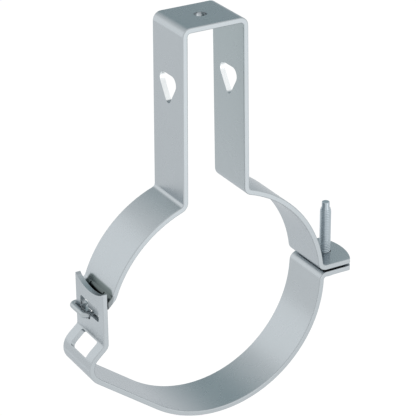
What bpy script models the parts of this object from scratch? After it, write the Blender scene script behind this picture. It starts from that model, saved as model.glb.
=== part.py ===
"""Two-part pipe bracket folded from steel strip.

An upper strap hangs over a square rail and opens out into two curved arms. A lower half strap
hooks onto a tongue of the left arm and is drawn up to the right arm's flange by one screw.
Lengths are in metres. The origin is the middle of the top plate's underside, where the rail
bears, with +Z up, +X towards the closing screw and +Y along the pipe.
"""

import math

import bmesh
import bpy
from mathutils import Matrix, Vector

# Strip stock, the same for both straps
STRAP_WIDTH = 0.0300
STRAP_THICKNESS = 0.0028
PARTING_RADIUS = 0.0300
FIT_GAP = 0.0003
OVERRUN = 0.0040

# Inverted U over the rail
RAIL_GAP = 0.0308
LEG_SPLAY = 0.0008
TOP_BEND_INSIDE = 0.0017
ARM_BEND_INSIDE = 0.0022
TOP_HOLE_DIAMETER = 0.0065

# Wedge hole in each leg, an inverted triangle with round corners
WEDGE_HOLE_WIDTH = 0.0160
WEDGE_HOLE_HEIGHT = 0.0152
WEDGE_HOLE_CORNER = 0.0040
WEDGE_HOLE_APEX = 0.0025
LEFT_HOLE_TOP = -0.0245
RIGHT_HOLE_TOP = -0.0265

# Curved arms of the upper strap
ARM_RADIUS = 0.0615
ARM_CENTRE_X = 0.0006
ARM_CENTRE_Z = -0.1510

# Flanges at the right, which rise over the arms' centre and reach past the long hole
FLANGE_RISE = 0.0066
FLANGE_REACH = 0.0023
UPPER_FLANGE_BEND_INSIDE = 0.0022
LOWER_FLANGE_BEND_INSIDE = 0.0017
FLANGE_GAP = 0.0012

# Closing screw and its washer, which lies just past the flanges' folds
SCREW_DIAMETER = 0.0060
SCREW_LENGTH = 0.0380
LEAD_DIAMETER = 0.0040
LEAD_LENGTH = 0.0044
LEAD_CONE = 0.0009
LEAD_CHAMFER = 0.0004
HEAD_FLATS = 0.0100
HEAD_HEIGHT = 0.0040
HEAD_CHAMFER = 0.0006
WASHER_DIAMETER = 0.0120
WASHER_THICKNESS = 0.0016
WASHER_PLAY = 0.0019
LONG_HOLE_PLAY = 0.0005
LONG_HOLE_SWING = 0.0050

# Lower strap, whose plate stands outside the left arm with the knee beyond and below it
RING_RADIUS = 0.0606
RING_SHIFT = 0.0011
RING_LIFT = 0.0011
KNEE_REACH = 0.0148
KNEE_DROP = 0.0170
KNEE_BEND_INSIDE = 0.0072
PLATE_STAND = 0.0016
PLATE_BEND_DROP = 0.0051
PLATE_BEND_INSIDE = 0.0018
PLATE_RISE = 0.0204

# Window in the slope between the knee and the plate
WINDOW_WIDTH = 0.0170
WINDOW_START = 0.0010
WINDOW_LENGTH = 0.0100
WINDOW_CORNER = 0.0012

# Latch: a slot in the plate takes the tongue at the end of the foot
SLOT_WIDTH = 0.0200
SLOT_HEIGHT = 0.0070
SLOT_CORNER = 0.0016
SLOT_RISE = 0.0069
FOOT_RISE = 0.0172
FOOT_SLOPE = math.radians(45)
FOOT_BEND_INSIDE = 0.0018
TONGUE_WIDTH = 0.0130
TONGUE_RELIEF = 0.0010
TONGUE_SLOPE = math.radians(80)
TONGUE_BEND_INSIDE = 0.0010

# Wire clip in a notch of the slot's lower edge
CLIP_WIRE = 0.0030
CLIP_BEND = 0.0025
CLIP_DROP = 0.0012
CLIP_REACH = 0.0030
CLIP_TAIL = 0.0065
CLIP_SIDE_PLAY = 0.0006
NOTCH_Y = 0.0017
NOTCH_WIDTH = 0.0042
NOTCH_CORNER = 0.0018

# Facets
ARC_STEP = math.radians(3)
BEND_STEP = math.radians(12)
SIDES = 32
WIRE_RESOLUTION = 4

# Levels and places worked out from the sizes above
HALF_WIDTH = STRAP_WIDTH / 2
HALF_THICKNESS = STRAP_THICKNESS / 2
RING_CENTRE_X = ARM_CENTRE_X + RING_SHIFT
RING_CENTRE_Z = ARM_CENTRE_Z + RING_LIFT
UPPER_FLANGE_Z = ARM_CENTRE_Z + FLANGE_RISE - HALF_THICKNESS
LOWER_FLANGE_Z = UPPER_FLANGE_Z - STRAP_THICKNESS - FLANGE_GAP
WASHER_TOP = LOWER_FLANGE_Z - HALF_THICKNESS - FIT_GAP
HEAD_TOP = WASHER_TOP - WASHER_THICKNESS - FIT_GAP
ARM_SIDE = ARM_CENTRE_X + ARM_RADIUS + UPPER_FLANGE_BEND_INSIDE
RING_SIDE = RING_CENTRE_X + RING_RADIUS + LOWER_FLANGE_BEND_INSIDE
FOLDS_END = max(ARM_SIDE, RING_SIDE) + STRAP_THICKNESS
SCREW_X = FOLDS_END + WASHER_PLAY + WASHER_DIAMETER / 2
FLANGE_END = SCREW_X + SCREW_DIAMETER / 2 + LONG_HOLE_SWING + FLANGE_REACH
PLATE_FACE_X = ARM_CENTRE_X - ARM_RADIUS - PLATE_STAND
PLATE_BEND_Z = ARM_CENTRE_Z - PLATE_BEND_DROP
PLATE_TOP = ARM_CENTRE_Z + PLATE_RISE
KNEE_X = PLATE_FACE_X - KNEE_REACH
KNEE_Z = ARM_CENTRE_Z - KNEE_DROP
FOOT_LEVEL = ARM_CENTRE_Z + FOOT_RISE
SLOT_BOTTOM = ARM_CENTRE_Z + SLOT_RISE
SLOT_TOP = SLOT_BOTTOM + SLOT_HEIGHT
CLIP_Z = SLOT_BOTTOM - CLIP_DROP
TONGUE_LOW = CLIP_Z + CLIP_WIRE / 2 + FIT_GAP
SHOULDER_X = PLATE_FACE_X + FIT_GAP
SHOULDER_RISE = HALF_THICKNESS / math.cos(FOOT_SLOPE)
PIVOT_Z = FOOT_LEVEL + FIT_GAP * math.tan(FOOT_SLOPE) + SHOULDER_RISE

X_AXIS = Vector((1, 0, 0))
Y_AXIS = Vector((0, 1, 0))
Z_AXIS = Vector((0, 0, 1))
LEFTWARDS = Vector((-1, 0))
UPWARDS = Vector((0, 1))


def clear_scene():
    """Remove whatever the open scene holds."""
    for item in list(bpy.data.objects):
        bpy.data.objects.remove(item, do_unlink=True)


def steel(name, color, roughness):
    """Return a zinc-coated steel material."""
    material = bpy.data.materials.new(name)
    material.use_nodes = True
    shader = material.node_tree.nodes["Principled BSDF"]
    shader.inputs["Base Color"].default_value = (*color, 1.0)
    shader.inputs["Metallic"].default_value = 1.0
    shader.inputs["Roughness"].default_value = roughness
    return material


def add_object(name, bm, material=None):
    """Turn a bmesh into a scene object and free it."""
    bmesh.ops.recalc_face_normals(bm, faces=bm.faces)
    mesh = bpy.data.meshes.new(name)
    bm.to_mesh(mesh)
    bm.free()
    if material:
        mesh.materials.append(material)
    item = bpy.data.objects.new(name, mesh)
    bpy.context.collection.objects.link(item)
    return item


# Plane geometry. A path's stations each hold a point and the normal on the path's left.


def heading(angle):
    """Return the unit vector at an angle from the first axis towards the second."""
    return Vector((math.cos(angle), math.sin(angle)))


def angle_of(vector):
    """Return a vector's angle from the first axis towards the second."""
    return math.atan2(vector.y, vector.x)


def left_of(direction):
    """Return the normal on the left of a direction."""
    return Vector((-direction.y, direction.x))


def arc(centre, radius, start, turn, step):
    """Return the stations of an arc, which runs anticlockwise where its turn is positive."""
    count = max(2, math.ceil(abs(turn) / step))
    side = math.copysign(1, -turn)
    spokes = [heading(start + turn * index / count) for index in range(count + 1)]
    return [(centre + radius * spoke, side * spoke) for spoke in spokes]


def anticlockwise(centre, radius, start, end, step):
    """Return an arc that turns left from one spoke to another."""
    turn = (angle_of(end) - angle_of(start)) % math.tau
    return arc(centre, radius, angle_of(start), turn, step)


def clockwise(centre, radius, start, end, step):
    """Return an arc that turns right from one spoke to another."""
    turn = (angle_of(end) - angle_of(start)) % -math.tau
    return arc(centre, radius, angle_of(start), turn, step)


def corner(before, point, after, radius):
    """Return the bend that rounds a path's corner, as large as the room beside it allows."""
    come = (point - before).normalized()
    leave = (after - point).normalized()
    turn = math.atan2(come.x * leave.y - come.y * leave.x, come.dot(leave))
    room = min((point - before).length, (after - point).length)
    radius = min(radius, room / math.tan(abs(turn) / 2))
    start = point - come * radius * math.tan(abs(turn) / 2)
    spoke = left_of(come) * radius * math.copysign(1, -turn)
    return arc(start - spoke, radius, angle_of(spoke), turn, BEND_STEP)


def fold_centre(point, direction, offset, ring, reach):
    """Return the far place along a line where a fold also touches the outside of a ring."""
    base = point + offset - ring
    along = base.dot(direction)
    root = math.sqrt(along * along - base.dot(base) + reach * reach)
    return ring + base + direction * (root - along)


def hull(centres, radii):
    """Return the outline round some circles, which are given anticlockwise."""
    count = len(centres)
    normals = []
    for index in range(count):
        after = (index + 1) % count
        gap = centres[after] - centres[index]
        normals.append(angle_of(gap) - math.acos((radii[index] - radii[after]) / gap.length))
    points = []
    for index in range(count):
        start = normals[index - 1]
        sweep = (normals[index] - start) % math.tau
        stations = arc(centres[index], radii[index], start, sweep, BEND_STEP)
        points += [point for point, _ in stations]
    return points


def oblong(length, height, radius):
    """Return a rectangle with round corners about the origin."""
    x, y = length / 2 - radius, height / 2 - radius
    centres = [Vector((x, y)), Vector((-x, y)), Vector((-x, -y)), Vector((x, -y))]
    return hull(centres, [radius] * len(centres))


def circle(radius, sides=SIDES):
    """Return a circle or a regular polygon about the origin."""
    return [radius * heading(math.tau * index / sides) for index in range(sides)]


# Solids


def section(bm, station, left, right):
    """Add the strip's four corners at a station and return them."""
    point, normal = station
    corners = []
    for across, side in ((left, 1), (right, 1), (right, -1), (left, -1)):
        place = point + normal * side * HALF_THICKNESS
        corners.append(bm.verts.new((place.x, across, place.y)))
    return corners


def join(bm, ring, following):
    """Add the four walls between two sections."""
    for index in range(len(ring)):
        after = (index + 1) % len(ring)
        bm.faces.new((ring[index], ring[after], following[after], following[index]))


def carry_on(bm, ring, stations, left, right):
    """Extend a strip from a section through more stations and return its last section."""
    for station in stations:
        following = section(bm, station, left, right)
        join(bm, ring, following)
        ring = following
    return ring


def start_strip(bm, stations):
    """Fold the full-width strip along its stations and return its last section."""
    first = section(bm, stations[0], -HALF_WIDTH, HALF_WIDTH)
    bm.faces.new(first)
    return carry_on(bm, first, stations[1:], -HALF_WIDTH, HALF_WIDTH)


def prism(name, outline, origin, across, up, depth):
    """Add a hidden cutter whose outline lies between two axes and runs depth to either side."""
    bm = bmesh.new()
    out = across.cross(up)
    base = [bm.verts.new(origin + p.x * across + p.y * up - out * depth) for p in outline]
    grown = bmesh.ops.extrude_face_region(bm, geom=[bm.faces.new(base)])["geom"]
    tops = [item for item in grown if isinstance(item, bmesh.types.BMVert)]
    bmesh.ops.translate(bm, verts=tops, vec=out * 2 * depth)
    return add_object(name, bm)


def lathe(name, profile, closed, material=None):
    """Turn a profile of radius and height about Z. An open one gets flat ends."""
    bm = bmesh.new()
    points = [bm.verts.new((radius, 0, height)) for radius, height in profile]
    edges = [bm.edges.new(pair) for pair in zip(points, points[1:])]
    if closed:
        edges.append(bm.edges.new((points[-1], points[0])))
    bmesh.ops.spin(
        bm, geom=points + edges, cent=(0, 0, 0), axis=Z_AXIS,
        angle=math.tau, steps=SIDES, use_merge=True,
    )
    if not closed:
        bmesh.ops.holes_fill(bm, edges=[edge for edge in bm.edges if edge.is_boundary])
    return add_object(name, bm, material)


def boolean(target, tool, operation="DIFFERENCE"):
    """Cut or join one object with another, which becomes a hidden guide."""
    modifier = target.modifiers.new(tool.name, "BOOLEAN")
    modifier.operation = operation
    modifier.solver = "EXACT"
    modifier.object = tool
    tool.hide_render = True
    tool.display_type = "WIRE"


# Cuts that both straps share


def flange_end_cutter(name, level):
    """Add the waste beyond a flange's end, which bows out at the parting radius."""
    side = HALF_WIDTH + OVERRUN
    spread = math.asin(side / PARTING_RADIUS)
    centre = Vector((-PARTING_RADIUS, 0))
    bow = [point for point, _ in arc(centre, PARTING_RADIUS, -spread, 2 * spread, ARC_STEP)]
    outline = [Vector((OVERRUN, -side)), Vector((OVERRUN, side))] + bow[::-1]
    origin = Vector((FLANGE_END, 0, level))
    return prism(name, outline, origin, X_AXIS, Y_AXIS, STRAP_THICKNESS)


def flange_start(level):
    """Return the first station of a strap, past the end that the parting cut leaves."""
    return (Vector((FLANGE_END + OVERRUN / 2, level)), left_of(LEFTWARDS))


# Upper strap


def leg_points():
    """Return the corners of the inverted U, from the right leg's foot to the left one's."""
    half = RAIL_GAP / 2 + HALF_THICKNESS
    low = ARM_CENTRE_Z + ARM_RADIUS
    return (
        Vector((half + LEG_SPLAY, low)),
        Vector((half, HALF_THICKNESS)),
        Vector((-half, HALF_THICKNESS)),
        Vector((-half - LEG_SPLAY, low)),
    )


def foot_line():
    """Return the point where the foot's middle meets the plate, and the foot's heading."""
    return Vector((PLATE_FACE_X, FOOT_LEVEL)), -heading(FOOT_SLOPE)


def upper_stations():
    """Return the path from the right flange over the rail to the foot's straight."""
    ring = Vector((ARM_CENTRE_X, ARM_CENTRE_Z))
    middle = ARM_RADIUS + HALF_THICKNESS
    right_low, right_top, left_top, left_low = leg_points()
    rise = (right_top - right_low).normalized()
    fall = (left_low - left_top).normalized()
    foot, down = foot_line()

    # Fold at the flange
    fold = UPPER_FLANGE_BEND_INSIDE + HALF_THICKNESS
    start = flange_start(UPPER_FLANGE_Z)
    flange_fold = fold_centre(start[0], -LEFTWARDS, UPWARDS * fold, ring, middle + fold)
    stations = [start]
    stations += clockwise(flange_fold, fold, -UPWARDS, ring - flange_fold, BEND_STEP)

    # Right arm and the right leg's root
    root = ARM_BEND_INSIDE + HALF_THICKNESS
    right_root = fold_centre(right_low, rise, -left_of(rise) * root, ring, middle + root)
    stations += anticlockwise(ring, middle, flange_fold - ring, right_root - ring, ARC_STEP)
    stations += clockwise(right_root, root, ring - right_root, left_of(rise), BEND_STEP)

    # Inverted U
    top = TOP_BEND_INSIDE + HALF_THICKNESS
    stations += corner(right_low, right_top, left_top, top)
    stations += corner(right_top, left_top, left_low, top)

    # Left leg's root, left arm and the fold into the foot
    left_root = fold_centre(left_low, -fall, -left_of(fall) * root, ring, middle + root)
    stations += clockwise(left_root, root, left_of(fall), ring - left_root, BEND_STEP)
    fold = FOOT_BEND_INSIDE + HALF_THICKNESS
    foot_fold = fold_centre(foot, down, -left_of(down) * fold, ring, middle + fold)
    stations += anticlockwise(ring, middle, left_root - ring, foot_fold - ring, ARC_STEP)
    stations += clockwise(foot_fold, fold, ring - foot_fold, left_of(down), BEND_STEP)
    return stations


def shoulder_stations():
    """Return the shoulder's end, which stands upright just clear of the plate."""
    foot, down = foot_line()
    end = foot + down * ((SHOULDER_X - foot.x) / down.x)
    return [(end, -UPWARDS / math.cos(FOOT_SLOPE))]


def tongue_stations():
    """Return the tongue's bend behind the slot's upper edge, and its end above the clip."""
    foot, down = foot_line()
    dive = -heading(TONGUE_SLOPE)
    passing = Vector((SHOULDER_X, SLOT_TOP)) + left_of(dive) * HALF_THICKNESS
    run = (passing - foot).dot(left_of(dive)) / down.dot(left_of(dive))
    turn = foot + down * run
    lowest = TONGUE_LOW + HALF_THICKNESS * math.cos(TONGUE_SLOPE)
    end = turn + dive * ((lowest - turn.y) / dive.y)
    radius = TONGUE_BEND_INSIDE + HALF_THICKNESS
    return corner(turn - down, turn, end, radius) + [(end, left_of(dive))]


def split_foot(bm, ring, station):
    """Slit the strip's end: the shoulders run on to the plate and the tongue turns down."""
    tongue = TONGUE_WIDTH / 2
    relief = tongue + TONGUE_RELIEF
    borders = [-HALF_WIDTH, -relief, -tongue, tongue, relief, HALF_WIDTH]
    point, normal = station
    rows = []
    for side in (1, -1):
        place = point + normal * side * HALF_THICKNESS
        rows.append([bm.verts.new((place.x, across, place.y)) for across in borders])
    inner, outer = rows
    bm.faces.new([ring[1], ring[0]] + inner)
    bm.faces.new([ring[3], ring[2]] + outer[::-1])
    bm.faces.new((ring[0], ring[3], outer[0], inner[0]))
    bm.faces.new((ring[2], ring[1], inner[-1], outer[-1]))
    runs = [shoulder_stations(), [], tongue_stations(), [], shoulder_stations()]
    for index, stations in enumerate(runs):
        left, right = borders[index], borders[index + 1]
        end = (inner[index], inner[index + 1], outer[index + 1], outer[index])
        bm.faces.new(carry_on(bm, end, stations, left, right))


def wedge_outline(top):
    """Return the wedge hole's outline across and up a leg."""
    wide = WEDGE_HOLE_WIDTH / 2 - WEDGE_HOLE_CORNER
    high = top - WEDGE_HOLE_CORNER
    low = top - WEDGE_HOLE_HEIGHT + WEDGE_HOLE_APEX
    centres = [Vector((wide, high)), Vector((-wide, high)), Vector((0, low))]
    return hull(centres, [WEDGE_HOLE_CORNER, WEDGE_HOLE_CORNER, WEDGE_HOLE_APEX])


def upper_strap(material):
    """Model the hanger: flange, arms, inverted U, foot and tongue in one strip."""
    stations = upper_stations()
    bm = bmesh.new()
    ring = start_strip(bm, stations[:-1])
    split_foot(bm, ring, stations[-1])
    strap = add_object("upper_strap", bm, material)

    leg = Vector((RAIL_GAP / 2 + HALF_THICKNESS, 0, 0))
    left_hole, right_hole = wedge_outline(LEFT_HOLE_TOP), wedge_outline(RIGHT_HOLE_TOP)
    top = Vector((0, 0, HALF_THICKNESS))
    tap = Vector((SCREW_X, 0, UPPER_FLANGE_Z))
    tap_radius = SCREW_DIAMETER / 2 + FIT_GAP
    boolean(strap, prism("left_wedge_cut", left_hole, -leg, Y_AXIS, Z_AXIS, OVERRUN))
    boolean(strap, prism("right_wedge_cut", right_hole, leg, Y_AXIS, Z_AXIS, OVERRUN))
    boolean(strap, prism("top_hole_cut", circle(TOP_HOLE_DIAMETER / 2), top, X_AXIS, Y_AXIS, OVERRUN))
    boolean(strap, prism("screw_hole_cut", circle(tap_radius), tap, X_AXIS, Y_AXIS, OVERRUN))
    boolean(strap, flange_end_cutter("upper_end_cut", UPPER_FLANGE_Z))
    return strap


# Lower strap


def plate_x():
    """Return the middle of the upright plate."""
    return PLATE_FACE_X - HALF_THICKNESS


def knee_points():
    """Return the corners of the knee and of the plate's bend, and the plate's top."""
    sag = PARTING_RADIUS - math.sqrt(PARTING_RADIUS ** 2 - HALF_WIDTH ** 2)
    return (
        Vector((KNEE_X, KNEE_Z)),
        Vector((plate_x(), PLATE_BEND_Z)),
        Vector((plate_x(), PLATE_TOP + sag)),
    )


def lower_stations():
    """Return the path from the flange round the ring and the knee to the plate's top."""
    ring = Vector((RING_CENTRE_X, RING_CENTRE_Z))
    middle = RING_RADIUS + HALF_THICKNESS
    knee, plate_bend, plate_top = knee_points()

    # Fold at the flange
    fold = LOWER_FLANGE_BEND_INSIDE + HALF_THICKNESS
    start = flange_start(LOWER_FLANGE_Z)
    flange_fold = fold_centre(start[0], -LEFTWARDS, -UPWARDS * fold, ring, middle + fold)
    stations = [start]
    stations += anticlockwise(flange_fold, fold, UPWARDS, ring - flange_fold, BEND_STEP)

    # Half ring, up to where the straight run to the knee leaves it
    gap = knee - ring
    leaving = heading(angle_of(gap) + math.acos(middle / gap.length))
    stations += clockwise(ring, middle, flange_fold - ring, leaving, ARC_STEP)

    # Knee, slope and upright plate
    stations += corner(stations[-1][0], knee, plate_bend, KNEE_BEND_INSIDE + HALF_THICKNESS)
    stations += corner(stations[-1][0], plate_bend, plate_top, PLATE_BEND_INSIDE + HALF_THICKNESS)
    stations.append((plate_top, left_of(UPWARDS)))
    return stations


def window_cutter():
    """Add the cutter of the window in the slope."""
    knee, plate_bend, _ = knee_points()
    slope = (knee - plate_bend).normalized()
    middle = plate_bend + slope * (WINDOW_START + WINDOW_LENGTH / 2)
    outline = oblong(WINDOW_LENGTH, WINDOW_WIDTH, WINDOW_CORNER)
    origin = Vector((middle.x, 0, middle.y))
    return prism("window_cut", outline, origin, Vector((slope.x, 0, slope.y)), Y_AXIS, STRAP_THICKNESS)


def slot_cutter():
    """Add the cutter of the slot that takes the tongue."""
    outline = oblong(SLOT_WIDTH, SLOT_HEIGHT, SLOT_CORNER)
    origin = Vector((plate_x(), 0, (SLOT_BOTTOM + SLOT_TOP) / 2))
    return prism("slot_cut", outline, origin, Y_AXIS, Z_AXIS, STRAP_THICKNESS)


def notch_cutter():
    """Add the cutter of the clip's notch, which opens into the slot's lower edge."""
    bottom = CLIP_Z - CLIP_WIRE / 2 - FIT_GAP
    height = SLOT_BOTTOM + SLOT_CORNER - bottom
    outline = oblong(NOTCH_WIDTH, height, min(NOTCH_CORNER, SLOT_CORNER))
    origin = Vector((plate_x(), NOTCH_Y, bottom + height / 2))
    return prism("notch_cut", outline, origin, Y_AXIS, Z_AXIS, STRAP_THICKNESS)


def plate_top_cutter():
    """Add the round cutter of the plate's hollow top edge."""
    origin = Vector((plate_x(), 0, PLATE_TOP + PARTING_RADIUS))
    sides = math.ceil(math.tau / ARC_STEP)
    outline = circle(PARTING_RADIUS, sides)
    return prism("plate_top_cut", outline, origin, Y_AXIS, Z_AXIS, STRAP_THICKNESS)


def long_hole_cutter():
    """Add the cutter of the lower flange's long hole, which lets the strap swing on the screw."""
    radius = SCREW_DIAMETER / 2 + LONG_HOLE_PLAY
    centres = [Vector((LONG_HOLE_SWING - LONG_HOLE_PLAY, 0)), Vector((0, 0))]
    origin = Vector((SCREW_X, 0, LOWER_FLANGE_Z))
    return prism("long_hole_cut", hull(centres, [radius, radius]), origin, X_AXIS, Y_AXIS, OVERRUN)


def lower_strap(material):
    """Model the lower strap: flange, half ring, knee and slotted plate in one strip."""
    bm = bmesh.new()
    bm.faces.new(start_strip(bm, lower_stations()))
    strap = add_object("lower_strap", bm, material)
    boolean(strap, flange_end_cutter("lower_end_cut", LOWER_FLANGE_Z))
    boolean(strap, long_hole_cutter())
    boolean(strap, window_cutter())
    boolean(strap, slot_cutter())
    boolean(strap, notch_cutter())
    boolean(strap, plate_top_cutter())
    return strap


# Wire clip


def latch_clip(material):
    """Model the clip: a leg through the notch, a straight along the plate and a hooked tail."""
    outside = PLATE_FACE_X - STRAP_THICKNESS - FIT_GAP - CLIP_WIRE / 2
    inside = PLATE_FACE_X + FIT_GAP + CLIP_WIRE / 2
    back = HALF_WIDTH + CLIP_SIDE_PLAY + CLIP_WIRE / 2
    tip = Vector((PLATE_FACE_X + CLIP_REACH, NOTCH_Y))
    first, second, third = Vector((outside, NOTCH_Y)), Vector((outside, back)), Vector((inside, back))
    tail = Vector((inside, back - CLIP_TAIL))
    points = [tip]
    for before, point, after in ((tip, first, second), (first, second, third), (second, third, tail)):
        points += [place for place, _ in corner(before, point, after, CLIP_BEND)]
    points.append(tail)

    curve = bpy.data.curves.new("latch_clip", "CURVE")
    curve.dimensions = "3D"
    curve.bevel_depth = CLIP_WIRE / 2
    curve.bevel_resolution = WIRE_RESOLUTION
    curve.use_fill_caps = True
    spline = curve.splines.new("POLY")
    spline.points.add(len(points) - 1)
    for knot, place in zip(spline.points, points):
        knot.co = (place.x, place.y, CLIP_Z, 1)
    curve.materials.append(material)
    clip = bpy.data.objects.new("latch_clip", curve)
    bpy.context.collection.objects.link(clip)
    return clip


# Screw and washer, turned about the screw's axis


def closing_screw(material):
    """Model the screw: hexagon head below, plain shank and a narrow lead-in point above."""
    tip = HEAD_TOP + SCREW_LENGTH
    shank, lead = SCREW_DIAMETER / 2, LEAD_DIAMETER / 2
    profile = [
        (shank, HEAD_TOP - HEAD_HEIGHT / 2),
        (shank, tip - LEAD_LENGTH - LEAD_CONE),
        (lead, tip - LEAD_LENGTH),
        (lead, tip - LEAD_CHAMFER),
        (lead - LEAD_CHAMFER, tip),
    ]
    screw = lathe("closing_screw", profile, False, material)

    bottom = HEAD_TOP - HEAD_HEIGHT
    corner_radius = HEAD_FLATS / 2 / math.cos(math.pi / 6)
    blank_profile = [
        (HEAD_FLATS / 2 - HEAD_CHAMFER, bottom - HEAD_CHAMFER / 2),
        (corner_radius + HEAD_CHAMFER, bottom + HEAD_CHAMFER),
        (corner_radius + HEAD_CHAMFER, HEAD_TOP + HEAD_CHAMFER),
    ]
    blank = lathe("head_blank", blank_profile, False)
    middle = Vector((0, 0, HEAD_TOP - HEAD_HEIGHT / 2))
    head = prism("screw_head", circle(corner_radius, 6), middle, X_AXIS, Y_AXIS, HEAD_HEIGHT / 2)
    boolean(head, blank, "INTERSECT")
    boolean(screw, head, "UNION")
    for item in (screw, blank, head):
        item.location.x = SCREW_X
    return screw


def screw_washer(material):
    """Model the washer that bridges the long hole."""
    bore, rim = SCREW_DIAMETER / 2 + FIT_GAP, WASHER_DIAMETER / 2
    low = WASHER_TOP - WASHER_THICKNESS
    profile = [(bore, WASHER_TOP), (rim, WASHER_TOP), (rim, low), (bore, low)]
    washer = lathe("screw_washer", profile, True, material)
    washer.location.x = SCREW_X
    return washer


def swing_on_latch(items):
    """Carry the lower strap's pieces on an empty at the line where the strap tilts."""
    pivot = bpy.data.objects.new("lower_strap_pivot", None)
    pivot.location = (SHOULDER_X, 0, PIVOT_Z)
    bpy.context.collection.objects.link(pivot)
    for item in items:
        item.parent = pivot
        item.matrix_parent_inverse = Matrix.Translation(-pivot.location)


def smooth(item):
    """Shade a turned or folded piece smooth between its sharp edges."""
    item.data.shade_smooth()
    item.data.set_sharp_from_angle(angle=2 * BEND_STEP)


def build():
    """Build the whole bracket."""
    clear_scene()
    upper = upper_strap(steel("upper_strap", (0.56, 0.59, 0.61), 0.42))
    lower = lower_strap(steel("lower_strap", (0.58, 0.61, 0.63), 0.40))
    clip = latch_clip(steel("latch_clip", (0.50, 0.53, 0.55), 0.38))
    screw = closing_screw(steel("closing_screw", (0.60, 0.62, 0.63), 0.30))
    washer = screw_washer(steel("screw_washer", (0.60, 0.62, 0.62), 0.34))
    swing_on_latch([lower, clip])
    for item in (upper, lower, screw, washer):
        smooth(item)


build()
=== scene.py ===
# %% [markdown]
# # A steel pipe bracket
# The bracket is folded from 30 mm wide zinc-coated strip. An upper strap hangs over a square rail
# and opens out into two curved arms. A lower half strap hooks onto the left arm, and one screw
# draws it up to the right arm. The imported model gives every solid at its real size, so this script
# only dresses those solids: it rounds their sheared edges, cuts the screw's thread, and gives each
# piece its finish, the light and the camera.

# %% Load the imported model
import math

import bmesh
import bpy
from mathutils import Matrix, Vector


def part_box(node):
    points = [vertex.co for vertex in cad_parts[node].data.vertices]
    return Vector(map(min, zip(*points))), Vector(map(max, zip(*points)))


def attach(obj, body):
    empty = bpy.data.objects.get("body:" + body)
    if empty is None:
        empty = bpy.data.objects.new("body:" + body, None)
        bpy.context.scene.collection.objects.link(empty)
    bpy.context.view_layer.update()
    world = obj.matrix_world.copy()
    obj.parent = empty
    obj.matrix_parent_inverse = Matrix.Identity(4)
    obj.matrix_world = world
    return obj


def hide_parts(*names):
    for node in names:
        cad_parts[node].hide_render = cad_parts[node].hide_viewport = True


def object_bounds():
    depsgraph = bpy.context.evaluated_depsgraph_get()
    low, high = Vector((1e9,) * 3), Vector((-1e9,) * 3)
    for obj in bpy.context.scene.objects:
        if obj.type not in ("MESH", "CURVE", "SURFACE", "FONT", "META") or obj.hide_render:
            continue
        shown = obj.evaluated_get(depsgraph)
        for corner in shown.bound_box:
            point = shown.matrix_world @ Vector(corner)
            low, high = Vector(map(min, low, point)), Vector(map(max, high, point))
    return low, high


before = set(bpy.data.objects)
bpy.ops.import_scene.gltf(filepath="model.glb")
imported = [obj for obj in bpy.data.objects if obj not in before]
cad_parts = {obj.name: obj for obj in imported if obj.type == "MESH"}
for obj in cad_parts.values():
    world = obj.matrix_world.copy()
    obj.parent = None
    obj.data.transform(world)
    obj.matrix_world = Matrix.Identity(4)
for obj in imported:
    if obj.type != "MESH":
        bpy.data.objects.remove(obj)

MM = 0.001
cad_low, cad_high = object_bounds()
print("model box in mm:", [round(side / MM, 1) for side in cad_high - cad_low])

# %% [markdown]
# ## Camera
# The photograph was taken from the front left, a little above, with a long lens. A long lens keeps
# parallel edges nearly parallel, which is how a catalogue picture looks. The camera is pitched down
# at the bracket's middle and has no shift, so the other views keep the same framing.

# %% Place the camera
AIM = Vector((3.48, 0.0, -101.83)) * MM
CAMERA_AZIMUTH = math.radians(29.9)
CAMERA_PITCH = math.radians(25.41)
CAMERA_ROLL = math.radians(-0.445)
CAMERA_DISTANCE = 985.7 * MM
LENS = 168.3


def add_camera():
    """Aim the camera at the bracket along the photograph's line of sight."""
    back = Vector((
        -math.sin(CAMERA_AZIMUTH) * math.cos(CAMERA_PITCH),
        -math.cos(CAMERA_AZIMUTH) * math.cos(CAMERA_PITCH),
        math.sin(CAMERA_PITCH),
    ))
    data = bpy.data.cameras.new("camera")
    data.lens = LENS
    camera = bpy.data.objects.new("camera", data)
    turn = (-back).to_track_quat("-Z", "Y").to_matrix().to_4x4()
    roll = Matrix.Rotation(CAMERA_ROLL, 4, "Z")
    camera.matrix_world = Matrix.Translation(AIM + back * CAMERA_DISTANCE) @ turn @ roll
    bpy.context.scene.collection.objects.link(camera)
    bpy.context.scene.camera = camera
    return camera


camera = add_camera()
print("camera stands", round(camera.location.length / MM), "mm from the rail seat")

# %% [markdown]
# ## Room
# Bare zinc shows its surroundings more than it shows lamps, so the surroundings carry the light.
# The room is white all round, for the camera and for the metal alike. Matt things get a little less
# from it, because the lamps light them too.

# %% Build the white room
WHITE = (1, 1, 1, 1)
FULL_LIGHT = 1.0
ROOM_LIGHT = 0.85


def seen_directly(nodes, links):
    """Return a value that is one where the camera, a gloss or a clear thing looks."""
    ray = nodes.new("ShaderNodeLightPath")
    gloss = nodes.new("ShaderNodeMath")
    gloss.operation = "MAXIMUM"
    clear = nodes.new("ShaderNodeMath")
    clear.operation = "MAXIMUM"
    links.new(ray.outputs["Is Camera Ray"], gloss.inputs[0])
    links.new(ray.outputs["Is Glossy Ray"], gloss.inputs[1])
    links.new(gloss.outputs["Value"], clear.inputs[0])
    links.new(ray.outputs["Is Transmission Ray"], clear.inputs[1])
    return clear.outputs["Value"]


def fade(nodes, links, value, start, end):
    """Map a value that runs from nought to one onto a start and an end."""
    step = nodes.new("ShaderNodeMapRange")
    step.inputs["To Min"].default_value = start
    step.inputs["To Max"].default_value = end
    links.new(value, step.inputs["Value"])
    return step


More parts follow.
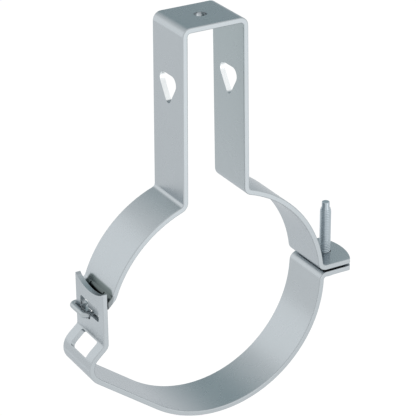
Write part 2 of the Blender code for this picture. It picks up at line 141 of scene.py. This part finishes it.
def add_room():
    """Make the white surroundings."""
    world = bpy.data.worlds.new("white_room")
    bpy.context.scene.world = world
    world.use_nodes = True
    nodes, links = world.node_tree.nodes, world.node_tree.links
    level = fade(nodes, links, seen_directly(nodes, links), ROOM_LIGHT, FULL_LIGHT)
    links.new(level.outputs["Result"], nodes["Background"].inputs["Strength"])
    nodes["Background"].inputs["Color"].default_value = WHITE


bpy.context.scene.view_settings.view_transform = "Standard"
add_room()
print("room light on matt things:", ROOM_LIGHT)

# %% [markdown]
# ## Floor
# The bracket hangs from its rail, so nothing holds it up here and the floor lies well below it. The
# floor is matt and nearly white. A faint glow lifts it to the white of the room, and it still takes
# the soft shadow that the bracket casts.

# %% Lay the floor
FLOOR_DROP = 300 * MM
FLOOR_SIZE = 8.0
FLOOR_TONE = 0.85
FLOOR_ROUGHNESS = 0.9
FLOOR_GLOW = 0.30


def add_floor():
    """Lay a wide pale floor under the bracket."""
    bpy.ops.mesh.primitive_plane_add(size=FLOOR_SIZE, location=(0, 0, cad_low.z - FLOOR_DROP))
    floor = bpy.context.object
    floor.name = "floor"
    material = bpy.data.materials.new("white_floor")
    material.use_nodes = True
    nodes, links = material.node_tree.nodes, material.node_tree.links
    shader = nodes["Principled BSDF"]
    shader.inputs["Base Color"].default_value = (FLOOR_TONE, FLOOR_TONE, FLOOR_TONE, 1)
    shader.inputs["Roughness"].default_value = FLOOR_ROUGHNESS
    shader.inputs["Specular IOR Level"].default_value = 0.0
    shader.inputs["Emission Color"].default_value = WHITE
    glow = fade(nodes, links, seen_directly(nodes, links), 0.0, FLOOR_GLOW)
    links.new(glow.outputs["Result"], shader.inputs["Emission Strength"])
    floor.data.materials.append(material)
    return floor


floor = add_floor()
print("floor lies", round(-floor.location.z / MM), "mm under the rail seat")

# %% [markdown]
# ## Grey curtain
# In the photograph the top plate and the flange are much darker than the legs, and the band fades
# from light to dark as it turns. One dark side of the studio, behind the bracket at the upper
# right, would do that, and a grey curtain stands for it. It is darkest in the middle and fades to
# the room's white, so that no edge of it shows in the metal. The camera doesn't see it.

# %% Hang the curtain
DARK_SIDE = Vector((0.37, 0.70, 0.61)).normalized()
CURTAIN_DISTANCE = 0.9
CURTAIN_SEGMENTS = 48
CURTAIN_RINGS = 32
CURTAIN_CORE = math.radians(3)
CURTAIN_SPREAD = math.radians(50)
CURTAIN_DARK = (0.41, 0.50, 0.52)


def add_curtain():
    """Hang a curtain, part of a sphere round the bracket, that fades to white at its border."""
    bm = bmesh.new()
    bmesh.ops.create_uvsphere(
        bm, u_segments=CURTAIN_SEGMENTS, v_segments=CURTAIN_RINGS, radius=CURTAIN_DISTANCE,
    )
    away = [
        face for face in bm.faces
        if face.calc_center_median().angle(DARK_SIDE) > CURTAIN_SPREAD
    ]
    bmesh.ops.delete(bm, geom=away, context="FACES")
    mesh = bpy.data.meshes.new("grey_curtain")
    bm.to_mesh(mesh)
    bm.free()
    curtain = bpy.data.objects.new("grey_curtain", mesh)
    curtain.location = AIM
    bpy.context.scene.collection.objects.link(curtain)
    curtain.visible_camera = False
    curtain.visible_diffuse = False
    curtain.visible_shadow = False

    material = bpy.data.materials.new("grey_curtain")
    material.use_nodes = True
    nodes, links = material.node_tree.nodes, material.node_tree.links
    nodes.clear()
    place = nodes.new("ShaderNodeTexCoord")
    unit = nodes.new("ShaderNodeVectorMath")
    unit.operation = "NORMALIZE"
    dot = nodes.new("ShaderNodeVectorMath")
    dot.operation = "DOT_PRODUCT"
    dot.inputs[1].default_value = DARK_SIDE
    angle = nodes.new("ShaderNodeMath")
    angle.operation = "ARCCOSINE"
    soft = nodes.new("ShaderNodeMapRange")
    soft.interpolation_type = "SMOOTHSTEP"
    soft.inputs["From Min"].default_value = CURTAIN_CORE
    soft.inputs["From Max"].default_value = CURTAIN_SPREAD
    tone = nodes.new("ShaderNodeMix")
    tone.data_type = "RGBA"
    tone.inputs["A"].default_value = (*CURTAIN_DARK, 1)
    tone.inputs["B"].default_value = WHITE
    glow = nodes.new("ShaderNodeEmission")
    out = nodes.new("ShaderNodeOutputMaterial")
    links.new(place.outputs["Object"], unit.inputs[0])
    links.new(unit.outputs["Vector"], dot.inputs[0])
    links.new(dot.outputs["Value"], angle.inputs[0])
    links.new(angle.outputs["Value"], soft.inputs["Value"])
    links.new(soft.outputs["Result"], tone.inputs["Factor"])
    links.new(tone.outputs["Result"], glow.inputs["Color"])
    links.new(glow.outputs["Emission"], out.inputs["Surface"])
    mesh.materials.append(material)


add_curtain()
print("curtain hangs", round(CURTAIN_DISTANCE / MM), "mm away")

# %% [markdown]
# ## Lamps
# Three soft boxes, all outside the camera's view. The key stands at the back left and brightens the
# curved arm, the slope and the inside of the band where they turn towards it. A small low box
# behind it lifts the upright plate and the knee. The fill stands at the front right and gives the
# sheared front edges their pale line.

# %% Set the lamps
KEY_SIDE = Vector((-0.56, 0.80, 0.22)).normalized()
KEY_DISTANCE = 0.7
KEY_SIZE = 0.45
KEY_POWER = 0.17
LOW_SIDE = Vector((-0.44, 0.60, -0.66)).normalized()
LOW_DISTANCE = 0.75
LOW_SIZE = 0.3
LOW_POWER = 0.09
FILL_SIDE = Vector((0.34, -0.84, -0.20)).normalized()
FILL_DISTANCE = 0.75
FILL_SIZE = 0.42
FILL_POWER = 0.30


def add_lamp(name, side, distance, size, power):
    """Set one soft box that faces the bracket."""
    data = bpy.data.lights.new(name, "AREA")
    data.size = size
    data.energy = power
    lamp = bpy.data.objects.new(name, data)
    lamp.location = AIM + side * distance
    lamp.rotation_euler = (-side).to_track_quat("-Z", "Y").to_euler()
    bpy.context.scene.collection.objects.link(lamp)
    return lamp


key = add_lamp("key_box", KEY_SIDE, KEY_DISTANCE, KEY_SIZE, KEY_POWER)
low_lamp = add_lamp("low_box", LOW_SIDE, LOW_DISTANCE, LOW_SIZE, LOW_POWER)
fill = add_lamp("fill_box", FILL_SIDE, FILL_DISTANCE, FILL_SIZE, FILL_POWER)
print("lamps:", key.name, low_lamp.name, fill.name)

# %% [markdown]
# ## Zinc finish, and painted light and shade on the hanger
# The strip is zinc coated before it is folded. The coat is a soft grey metal, a little blue. It has
# faint clouds where the zinc set at different speeds, fine rolling lines along the strip, and a
# very slight orange-peel. Metal has no colour under its gloss, so the clouds go into the tint and
# the roughness, and the lines and the peel into a shallow bump. The strip runs across Y everywhere,
# so a noise squeezed along Y gives lines that follow every fold.
#
# The hanger strap has painted light and shade of its own, each matched to the photograph. The walls
# of its wedge holes that face along Y are painted very pale: painted light. The inside of the U has
# painted shade, a little darker. The left arm has painted shade with round corners over the foot,
# darker towards the foot, where the arm runs down behind the upright plate. Whether that is a
# shadow, a reflection or a mark can't be told from the photograph.

# %% Make the zinc finishes, and the hanger's painted light and shade
# Each finish has a roughness, a depth of clouds and a depth of lines
STRIP_TINT = (0.438, 0.475, 0.498)
STRIP_FINISH = (0.27, 0.035, 0.35)
PLATED_TINT = (0.44, 0.50, 0.54)
PLATED_FINISH = (0.17, 0.02, 0.10)
WIRE_TINT = (0.43, 0.47, 0.49)
WIRE_FINISH = (0.34, 0.05, 0.4)
DULL_AT_GRAZING = (0.78, 0.80, 0.82, 1)
# Each noise has a scale and a detail
CLOUD_NOISE = (85, 3)
LINE_NOISE = (130, 2)
PEEL_NOISE = (900, 2)
LINE_SQUEEZE = (1, 14, 1)
LINE_SHARE = 0.3
RELIEF_HEIGHT = 0.05 * MM
SOFT_BORDER = 0.5 * MM
# Painted shade inside the U
INSIDE_SHADE = (0.84, 0.885, 0.875)
INSIDE_MIDDLE = (0, 0, -50.0 * MM)
INSIDE_HALF = (15.5 * MM, 20.0 * MM, 49.0 * MM)
# Painted light on the punched walls of the wedge holes
PUNCHED_LIGHT = (0.88, 0.91, 0.92)
PUNCHED_FACING = (0.5, 0.8)
PUNCHED_MIDDLE = (0, 0, -35.0 * MM)
PUNCHED_HALF = (30.0 * MM, 11.0 * MM, 20.0 * MM)
PUNCHED_CORNER = 1.0 * MM
# Painted shade, a dark area over the foot
LATCH_MIDDLE = (-55.0 * MM, -1.75 * MM, -136.3 * MM)
LATCH_HALF = (10.0 * MM, 9.25 * MM, 6.0 * MM)
LATCH_CORNER = 4.0 * MM
LATCH_TOP = -126.3 * MM
LATCH_LIMIT = -62.5 * MM
ARM_CENTRE = (0.6 * MM, 0, -151.0 * MM)
ARM_MIDDLE = 62.9 * MM
LATCH_FALL = 5.0 * MM
LATCH_LIGHT = 0.40
LATCH_DARK = 0.17
LATCH_SHADE_TINT = (0.42, 0.51, 0.51)


def calculate(nodes, links, operation, *values):
    """Add one vector calculation on sockets or plain values and return its result."""
    step = nodes.new("ShaderNodeVectorMath")
    step.operation = operation
    for value, entry in zip(values, step.inputs):
        if isinstance(value, bpy.types.NodeSocket):
            links.new(value, entry)
        else:
            entry.default_value = value
    return step.outputs["Value" if operation in ("LENGTH", "DOT_PRODUCT") else "Vector"]


def noise(nodes, links, vector, scale, detail):
    """Add a noise over a vector and return its value."""
    texture = nodes.new("ShaderNodeTexNoise")
    texture.inputs["Scale"].default_value = scale
    texture.inputs["Detail"].default_value = detail
    links.new(vector, texture.inputs["Vector"])
    return texture.outputs["Fac"]


def zinc(name, tint, roughness, cloud_depth, line_depth):
    """Make a zinc coat: cloudy tint and roughness, rolling lines and a faint orange-peel."""
    material = bpy.data.materials.new(name)
    material.use_nodes = True
    nodes, links = material.node_tree.nodes, material.node_tree.links
    shader = nodes["Principled BSDF"]
    shader.inputs["Metallic"].default_value = 1.0
    shader.inputs["Specular Tint"].default_value = DULL_AT_GRAZING
    place = nodes.new("ShaderNodeTexCoord").outputs["Object"]
    squeeze = nodes.new("ShaderNodeMapping")
    squeeze.inputs["Scale"].default_value = LINE_SQUEEZE
    links.new(place, squeeze.inputs["Vector"])

    clouds = noise(nodes, links, place, *CLOUD_NOISE)
    lines = noise(nodes, links, squeeze.outputs["Vector"], *LINE_NOISE)
    peel = noise(nodes, links, place, *PEEL_NOISE)

    # Clouds and lines in the tint
    both = nodes.new("ShaderNodeMix")
    both.data_type = "FLOAT"
    both.inputs["Factor"].default_value = LINE_SHARE
    links.new(clouds, both.inputs["A"])
    links.new(lines, both.inputs["B"])
    level = fade(nodes, links, both.outputs["Result"], 1 - cloud_depth, 1 + cloud_depth)
    clouded = calculate(nodes, links, "MULTIPLY", level.outputs["Result"], tint)
    links.new(clouded, shader.inputs["Base Color"])

    # Roughness follows the clouds
    rough = fade(nodes, links, clouds, roughness - cloud_depth, roughness + cloud_depth)
    links.new(rough.outputs["Result"], shader.inputs["Roughness"])

    # Shallow relief
    relief = nodes.new("ShaderNodeMix")
    relief.data_type = "FLOAT"
    links.new(lines, relief.inputs["A"])
    links.new(peel, relief.inputs["B"])
    bump = nodes.new("ShaderNodeBump")
    bump.inputs["Strength"].default_value = line_depth
    bump.inputs["Distance"].default_value = RELIEF_HEIGHT
    links.new(relief.outputs["Result"], bump.inputs["Height"])
    links.new(bump.outputs["Normal"], shader.inputs["Normal"])
    return material


def paint_over(nodes, links, share, colour):
    """Mix a colour over a finish's tint, where the share says."""
    entry = nodes["Principled BSDF"].inputs["Base Color"]
    paint = nodes.new("ShaderNodeMix")
    paint.data_type = "RGBA"
    links.new(share, paint.inputs["Factor"])
    links.new(entry.links[0].from_socket, paint.inputs["A"])
    if isinstance(colour, bpy.types.NodeSocket):
        links.new(colour, paint.inputs["B"])
    else:
        paint.inputs["B"].default_value = (*colour, 1)
    links.new(paint.outputs["Result"], entry)


def span(nodes, links, value, start, end):
    """Map a value to nought at one place and one at another."""
    step = fade(nodes, links, value, 0, 1)
    step.inputs["From Min"].default_value = start
    step.inputs["From Max"].default_value = end
    return step.outputs["Result"]


def box_share(nodes, links, place, middle, half, corner):
    """Return one inside a box that is grown by its corner radius, and nought outside, softly."""
    offset = calculate(nodes, links, "SUBTRACT", place, middle)
    size = calculate(nodes, links, "ABSOLUTE", offset)
    past = calculate(nodes, links, "SUBTRACT", size, half)
    outside = calculate(nodes, links, "MAXIMUM", past, (0, 0, 0))
    reach = calculate(nodes, links, "LENGTH", outside)
    return span(nodes, links, reach, corner + SOFT_BORDER, corner - SOFT_BORDER)


def paint_punched_light(material):
    """Paint light on the wedge holes' punched walls, which face along Y inside the strip's edges."""
    nodes, links = material.node_tree.nodes, material.node_tree.links
    place = nodes.new("ShaderNodeTexCoord")
    split = nodes.new("ShaderNodeSeparateXYZ")
    size = calculate(nodes, links, "ABSOLUTE", place.outputs["Normal"])
    links.new(size, split.inputs["Vector"])
    facing = span(nodes, links, split.outputs["Y"], *PUNCHED_FACING)
    near = box_share(
        nodes, links, place.outputs["Object"], PUNCHED_MIDDLE, PUNCHED_HALF, PUNCHED_CORNER,
    )
    paint_over(nodes, links, calculate(nodes, links, "MULTIPLY", facing, near), PUNCHED_LIGHT)


def paint_inside_shade(material):
    """Paint shade on the inside of the inverted U, a little darker, as in the photograph."""
    nodes, links = material.node_tree.nodes, material.node_tree.links
    place = nodes.new("ShaderNodeTexCoord").outputs["Object"]
    tint = nodes["Principled BSDF"].inputs["Base Color"].links[0].from_socket
    near = box_share(nodes, links, place, INSIDE_MIDDLE, INSIDE_HALF, SOFT_BORDER)
    paint_over(nodes, links, near, calculate(nodes, links, "MULTIPLY", tint, INSIDE_SHADE))


def paint_latch_shade(material):
    """Paint shade on a strap's outside over the latch, softly, and darker towards the foot."""
    nodes, links = material.node_tree.nodes, material.node_tree.links
    place = nodes.new("ShaderNodeTexCoord").outputs["Object"]

    panel = box_share(nodes, links, place, LATCH_MIDDLE, LATCH_HALF, LATCH_CORNER)

    # The arm's outside only, and not the tongue
    spoke = calculate(nodes, links, "SUBTRACT", place, ARM_CENTRE)
    flat_spoke = calculate(nodes, links, "MULTIPLY", spoke, (1, 0, 1))
    radius = calculate(nodes, links, "LENGTH", flat_spoke)
    skin = span(nodes, links, radius, ARM_MIDDLE, ARM_MIDDLE + SOFT_BORDER)
    split = nodes.new("ShaderNodeSeparateXYZ")
    links.new(place, split.inputs["Vector"])
    inward = span(nodes, links, split.outputs["X"], LATCH_LIMIT, LATCH_LIMIT + SOFT_BORDER)
    arm = calculate(nodes, links, "MULTIPLY", skin, inward)

    # The painted shade grows darker from the panel's top down
    depth = fade(nodes, links, split.outputs["Z"], LATCH_LIGHT, LATCH_DARK)
    depth.inputs["From Min"].default_value = LATCH_TOP
    depth.inputs["From Max"].default_value = LATCH_TOP - LATCH_FALL
    dark = calculate(nodes, links, "MULTIPLY", depth.outputs["Result"], LATCH_SHADE_TINT)
    paint_over(nodes, links, calculate(nodes, links, "MULTIPLY", arm, panel), dark)


strip_zinc = zinc("strip_zinc", STRIP_TINT, *STRIP_FINISH)
hanger_zinc_painted_light_and_shade = zinc("hanger_zinc_painted_light_and_shade", STRIP_TINT, *STRIP_FINISH)
# Painted shade inside the U, painted light on the punched walls and painted shade over the latch
paint_inside_shade(hanger_zinc_painted_light_and_shade)
paint_punched_light(hanger_zinc_painted_light_and_shade)
paint_latch_shade(hanger_zinc_painted_light_and_shade)
plated_zinc = zinc("plated_zinc", PLATED_TINT, *PLATED_FINISH)
wire_zinc = zinc("wire_zinc", WIRE_TINT, *WIRE_FINISH)
print("finishes:", strip_zinc.name, hanger_zinc_painted_light_and_shade.name, plated_zinc.name, wire_zinc.name)

# %% [markdown]
# ## Straps
# The solids have hard edges. Shears pull the edge of a real strip over, and in the photograph that
# round catches the light. So each strap is a copy of its solid with flat neighbours joined again.
# Each sheared side is set in step by step along a quarter circle, which rounds both its edges along
# every fold. The edges of holes and ends get a finer round, and the folds are shaded smooth.

# %% Round the straps' edges
WELD = 0.001 * MM
FLAT_ANGLE = math.radians(0.4)
EDGE_ANGLE = math.radians(28)
STRIP_EDGE = 0.50 * MM
PUNCHED_EDGE = 0.25 * MM
EDGE_STEPS = 4
EVEN_ROUND = 0.5
SIDE_FACING = 0.999


def solid_copy(node):
    """Copy a node's solid and join its flat neighbours again."""
    bm = bmesh.new()
    bm.from_mesh(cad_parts[node].data)
    bmesh.ops.remove_doubles(bm, verts=bm.verts, dist=WELD)
    bmesh.ops.dissolve_limit(bm, angle_limit=FLAT_ANGLE, verts=bm.verts, edges=bm.edges)
    return bm


def round_edges(bm, radius):
    """Round every sharp edge of a solid."""
    sharp = [edge for edge in bm.edges if edge.is_manifold and edge.calc_face_angle() > EDGE_ANGLE]
    bmesh.ops.bevel(
        bm, geom=sharp, offset=radius, segments=EDGE_STEPS, profile=EVEN_ROUND,
        affect="EDGES", clamp_overlap=True,
    )


def finish_piece(bm, name, node, body, material):
    """Turn a shaped solid into the piece that stands for a node and rides with its body."""
    mesh = bpy.data.meshes.new(name)
    bm.to_mesh(mesh)
    bm.free()
    mesh.materials.append(material)
    mesh.shade_smooth()
    piece = bpy.data.objects.new(name, mesh)
    bpy.context.scene.collection.objects.link(piece)
    piece.modifiers.new("flat_faces_win", "WEIGHTED_NORMAL")
    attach(piece, body)
    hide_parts(node)
    print(name, "has", len(mesh.polygons), "faces")


def round_side(bm, way, radius):
    """Round both edges of the strip's sheared side that faces one way along Y."""
    reach = max(vert.co.y * way for vert in bm.verts)
    side = [
        face for face in bm.faces
        if face.normal.y * way > SIDE_FACING and face.calc_center_median().y * way > reach - WELD
    ]
    corners = {vert for face in side for vert in face.verts}
    bmesh.ops.translate(bm, verts=list(corners), vec=(0, -way * radius, 0))
    for step in range(EDGE_STEPS):
        before, after = (math.pi / 2 * turn / EDGE_STEPS for turn in (step, step + 1))
        bmesh.ops.inset_region(
            bm, faces=side, use_boundary=True, use_even_offset=True,
            thickness=radius * (math.cos(before) - math.cos(after)),
            depth=radius * (math.sin(after) - math.sin(before)),
        )


def dress_strap(name, node, body, material):
    """Round a strap's sheared sides, and less the edges of its holes and ends."""
    bm = solid_copy(node)
    round_side(bm, 1, STRIP_EDGE)
    round_side(bm, -1, STRIP_EDGE)
    round_edges(bm, PUNCHED_EDGE)
    finish_piece(bm, name, node, body, material)


dress_strap("hanger_strap", "upper_strap", "hanger", hanger_zinc_painted_light_and_shade)
dress_strap("half_strap", "lower_strap", "lower_half", strip_zinc)

# %% [markdown]
# ## Closing screw
# A machine screw with a rolled M6 thread, a hexagon head under the washer and a narrow lead-in
# point, which helps to start it in the tapped hole. The thread is one helix: its rows climb by a
# pitch a turn, so the last row of a turn meets the first row of the next. The head, the thread and
# the point are three closed bodies that overlap. The head is hidden in the photograph.

# %% Cut the screw's thread
PITCH = 1.0 * MM
SHANK_RADIUS = 3.0 * MM
ROOT_RADIUS = 2.65 * MM
LEAD_RADIUS = 2.1 * MM
LEAD_LENGTH = 3.0 * MM
LEAD_CONE = 0.9 * MM
LEAD_CHAMFER = 0.4 * MM
LEAD_BULGE = LEAD_CHAMFER / 3
HEAD_HEIGHT = 4.0 * MM
HEAD_EDGE = 0.15 * MM
THREAD_SHAPE = (0.0, 0.5, 0.95, 1.0, 1.0, 1.0, 0.95, 0.5)
TURN_STEPS = 36
RUN_OUT = 1.5 * MM
POINT_PLAY = 0.02 * MM
POINT_SEAT = 2 * PITCH


def add_thread(bm, low, high):
    """Add a helical thread up to a height, where it has run out to the root, and close its ends."""
    rows = len(THREAD_SHAPE)
    count = int((high - low) / PITCH) * rows
    grid = []
    for row in range(count + 1):
        ring = []
        for step in range(TURN_STEPS):
            height = low + (row / rows + step / TURN_STEPS - 1) * PITCH
            depth = THREAD_SHAPE[row % rows] * min(1, max(0, (high - height) / RUN_OUT))
            radius = ROOT_RADIUS + (SHANK_RADIUS - ROOT_RADIUS) * depth
            turn = math.tau * step / TURN_STEPS
            ring.append(bm.verts.new((radius * math.cos(turn), radius * math.sin(turn), height)))
        grid.append(ring)
    for row in range(count):
        for step in range(TURN_STEPS):
            after, climb = (step + 1, row) if step + 1 < TURN_STEPS else (0, row + rows)
            if climb + 1 <= count:
                bm.faces.new((
                    grid[row][step], grid[climb][after],
                    grid[climb + 1][after], grid[row + 1][step],
                ))
    loose = [vert for ring in grid for vert in ring if not vert.link_faces]
    bmesh.ops.delete(bm, geom=loose, context="VERTS")
    bmesh.ops.holes_fill(bm, edges=[edge for edge in bm.edges if edge.is_boundary])


def join_rings(bm, rings):
    """Join rings of points, each to the next, and close both ends."""
    for ring, following in zip(rings, rings[1:]):
        for step in range(len(ring)):
            after = (step + 1) % len(ring)
            bm.faces.new((ring[step], ring[after], following[after], following[step]))
    bm.faces.new(rings[0])
    bm.faces.new(rings[-1])


def add_turned(bm, profile):
    """Turn a profile of radius and height about the axis and close its ends."""
    turns = [math.tau * step / TURN_STEPS for step in range(TURN_STEPS)]
    join_rings(bm, [
        [bm.verts.new((radius * math.cos(turn), radius * math.sin(turn), height)) for turn in turns]
        for radius, height in profile
    ])


def dress_screw():
    """Keep the solid's head, and put a threaded shank and a lead-in point on it."""
    low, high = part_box("closing_screw")
    axis = Vector(((low.x + high.x) / 2, (low.y + high.y) / 2, 0))
    seat = low.z + HEAD_HEIGHT
    lead_start = high.z - LEAD_LENGTH

    bm = solid_copy("closing_screw")
    everything = bm.verts[:] + bm.edges[:] + bm.faces[:]
    cut = bmesh.ops.bisect_plane(
        bm, geom=everything, plane_co=(0, 0, seat + HEAD_EDGE), plane_no=(0, 0, 1),
        clear_outer=True,
    )
    rim = [item for item in cut["geom_cut"] if isinstance(item, bmesh.types.BMEdge)]
    bmesh.ops.contextual_create(bm, geom=rim)
    round_edges(bm, HEAD_EDGE)
    bmesh.ops.translate(bm, verts=bm.verts, vec=-axis)

    thread_top = lead_start - LEAD_CONE
    add_thread(bm, seat, thread_top)
    add_turned(bm, [
        (ROOT_RADIUS - POINT_PLAY, thread_top - POINT_SEAT),
        (ROOT_RADIUS, thread_top),
        (LEAD_RADIUS, lead_start),
        (LEAD_RADIUS, high.z - LEAD_CHAMFER),
        (LEAD_RADIUS - LEAD_BULGE, high.z - LEAD_BULGE),
        (LEAD_RADIUS - LEAD_CHAMFER, high.z),
    ])
    bmesh.ops.remove_doubles(bm, verts=bm.verts, dist=WELD)
    bmesh.ops.recalc_face_normals(bm, faces=bm.faces)
    bmesh.ops.translate(bm, verts=bm.verts, vec=axis)
    finish_piece(bm, "threaded_screw", "closing_screw", "closing_screw", plated_zinc)


dress_screw()

# %% [markdown]
# ## Washer
# A punched washer under the screw's head. The punch leaves one edge rounded over, and at this size
# a small even round reads the same. The photograph doesn't show it, so it is a guess.

# %% Round the washer
WASHER_EDGE = 0.25 * MM


def dress_washer():
    """Round the washer's edges."""
    bm = solid_copy("screw_washer")
    round_edges(bm, WASHER_EDGE)
    finish_piece(bm, "round_washer", "screw_washer", "closing_screw", plated_zinc)


dress_washer()

# %% [markdown]
# ## Wire clip
# A bent piece of spring wire sits in a notch under the slot and keeps the tongue from working out.
# It is drawn wire, so it is round, with corners bent about a pin and cropped ends. The photograph
# shows only its straight part, so both its ends are a guess.

# %% Bend the wire clip
WIRE_RADIUS = 1.5 * MM
WIRE_BEND = 2.5 * MM
TAIL_LENGTH = 6.5 * MM
TIP_SETBACK = 0.3 * MM
WIRE_SIDES = 24
BEND_STEPS = 8
CROP_ROUND = 0.35 * MM


def bent_path(corners, radius):
    """Round the corners of a flat path with bends of one radius."""
    path = [corners[0]]
    for before, corner, after in zip(corners, corners[1:], corners[2:]):
        come, leave = (corner - before).normalized(), (after - corner).normalized()
        room = min((corner - before).length, (after - corner).length, radius)
        centre = corner - come * room + leave * room
        for step in range(BEND_STEPS + 1):
            turn = math.pi / 2 * step / BEND_STEPS
            path.append(centre - leave * room * math.cos(turn) + come * room * math.sin(turn))
    return path + [corners[-1]]


def add_wire(bm, path, radius):
    """Sweep a round wire along a level path, with slightly rounded cropped ends."""
    up = Vector((0, 0, 1))
    stations = [(path[0], path[1] - path[0], radius - CROP_ROUND)]
    for index, place in enumerate(path):
        before, after = path[max(index - 1, 0)], path[min(index + 1, len(path) - 1)]
        stations.append((place, after - before, radius))
    stations.append((path[-1], path[-1] - path[-2], radius - CROP_ROUND))
    first, last = stations[1], stations[-2]
    stations[1] = (first[0] + first[1].normalized() * CROP_ROUND, first[1], radius)
    stations[-2] = (last[0] - last[1].normalized() * CROP_ROUND, last[1], radius)
    turns = [math.tau * step / WIRE_SIDES for step in range(WIRE_SIDES)]
    rings = []
    for place, along, size in stations:
        side = along.normalized().cross(up)
        rings.append([
            bm.verts.new(place + size * (side * math.cos(turn) + up * math.sin(turn)))
            for turn in turns
        ])
    join_rings(bm, rings)


def dress_clip():
    """Bend the clip along the solid's own path."""
    low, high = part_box("latch_clip")
    level = (low.z + high.z) / 2
    outside, inside = low.x + WIRE_RADIUS, high.x - WIRE_RADIUS
    notch, back = low.y + WIRE_RADIUS, high.y - WIRE_RADIUS
    corners = [
        Vector((high.x - TIP_SETBACK, notch, level)), Vector((outside, notch, level)),
        Vector((outside, back, level)), Vector((inside, back, level)),
        Vector((inside, back - TAIL_LENGTH, level)),
    ]
    bm = bmesh.new()
    add_wire(bm, bent_path(corners, WIRE_BEND), WIRE_RADIUS)
    bmesh.ops.recalc_face_normals(bm, faces=bm.faces)
    finish_piece(bm, "bent_clip", "latch_clip", "lower_half", wire_zinc)


dress_clip()
